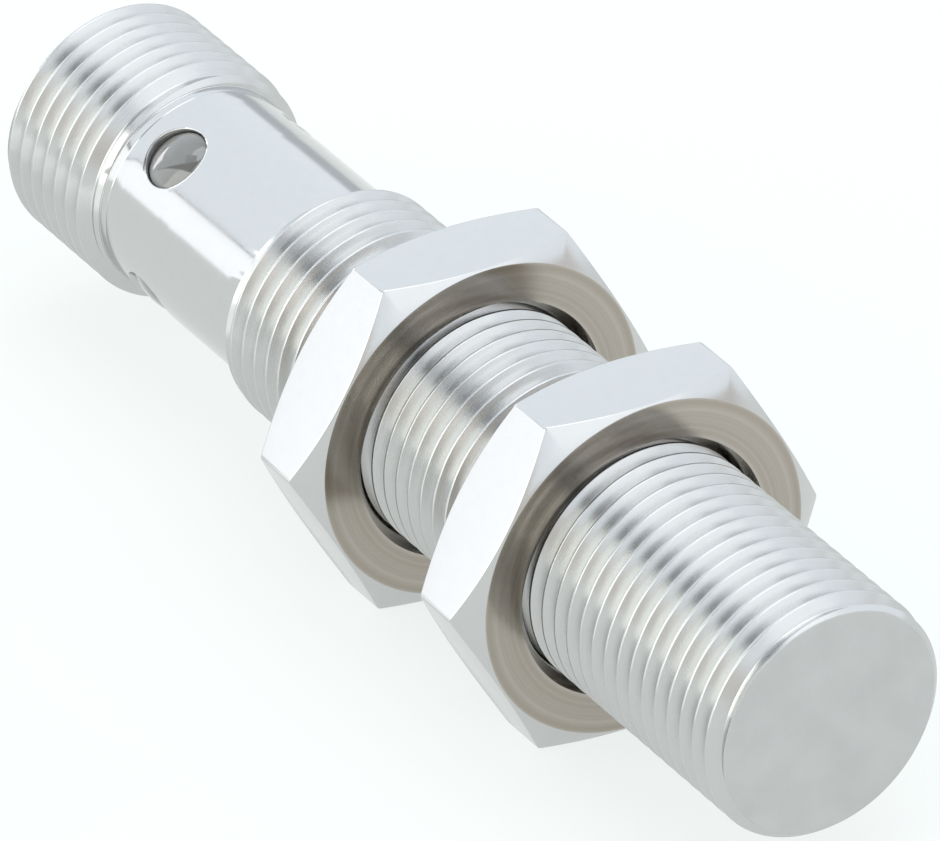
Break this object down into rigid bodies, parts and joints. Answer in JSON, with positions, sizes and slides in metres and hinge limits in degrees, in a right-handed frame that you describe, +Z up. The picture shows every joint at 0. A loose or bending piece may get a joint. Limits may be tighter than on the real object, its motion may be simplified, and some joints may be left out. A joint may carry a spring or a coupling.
{
  "type": "proximity sensor",
  "caption": "Cylindrical inductive proximity sensor: threaded stainless housing with closed metal sensing face, lock nuts, indicator windows and rear plug with contact pins.",
  "frame": {"origin": "centre of the sensing face", "axes": "+X out of the sensing face along the barrel, +Z up with the part lying level on the bottom flats of its nuts, +Y to the left of +X"},
  "size_m": [0.06, 0.0196, 0.017],
  "materials": {
    "housing_steel": "fine-turned stainless steel, satin, matt lapped sensing face",
    "nut_steel": "bright stainless steel, smooth flats, turned end faces",
    "ferrite": "sintered ferrite, matt",
    "bobbin_plastic": "moulded plastic",
    "copper": "enamelled copper wire",
    "holder_plastic": "moulded plastic",
    "board_laminate": "glass-epoxy laminate under solder mask",
    "package_plastic": "moulded epoxy packages",
    "resistor_ceramic": "glazed chips with tinned ends",
    "capacitor_ceramic": "ceramic chips with tinned ends",
    "led_resin": "clear epoxy on white base",
    "sleeve_film": "amber polyimide film",
    "potting_resin": "cast resin",
    "light_ring_plastic": "clear moulded plastic, frosted bore",
    "lens_plastic": "smoke-grey clear plastic, polished",
    "insert_plastic": "moulded engineering plastic",
    "seal_rubber": "fluoro rubber",
    "contact_gold": "gold-plated brass"
  },
  "bodies": {
    "housing": {"housing": "housing_steel", "ferrite_core": "ferrite", "coil_bobbin": "bobbin_plastic", "coil_winding": "copper", "coil_leads": "copper", "core_holder": "holder_plastic", "circuit_board": "board_laminate", "sensor_ic": "package_plastic", "voltage_regulator": "package_plastic", "output_driver": "package_plastic", "chip_resistors": "resistor_ceramic", "chip_capacitors": "capacitor_ceramic", "protection_diodes": "package_plastic", "status_leds": "led_resin", "insulating_sleeve": "sleeve_film", "potting_compound": "potting_resin", "light_ring": "light_ring_plastic", "carrier_seal": "seal_rubber", "window_lens_1": "lens_plastic", "window_lens_2": "lens_plastic", "window_lens_3": "lens_plastic", "window_lens_4": "lens_plastic", "contact_carrier": "insert_plastic", "contact_pin_1": "contact_gold", "contact_pin_2": "contact_gold", "contact_pin_3": "contact_gold", "contact_pin_4": "contact_gold"},
    "front_nut": {"front_nut": "nut_steel"},
    "rear_nut": {"rear_nut": "nut_steel"}
  },
  "joints": [
    {"name": "front_nut_travel", "type": "slide", "parent": "housing", "child": "front_nut", "axis": [1, 0, 0], "range_m": [-0.004, 0.014]},
    {"name": "rear_nut_travel", "type": "slide", "parent": "housing", "child": "rear_nut", "axis": [1, 0, 0], "range_m": [-0.008, 0.004]}
  ]
}
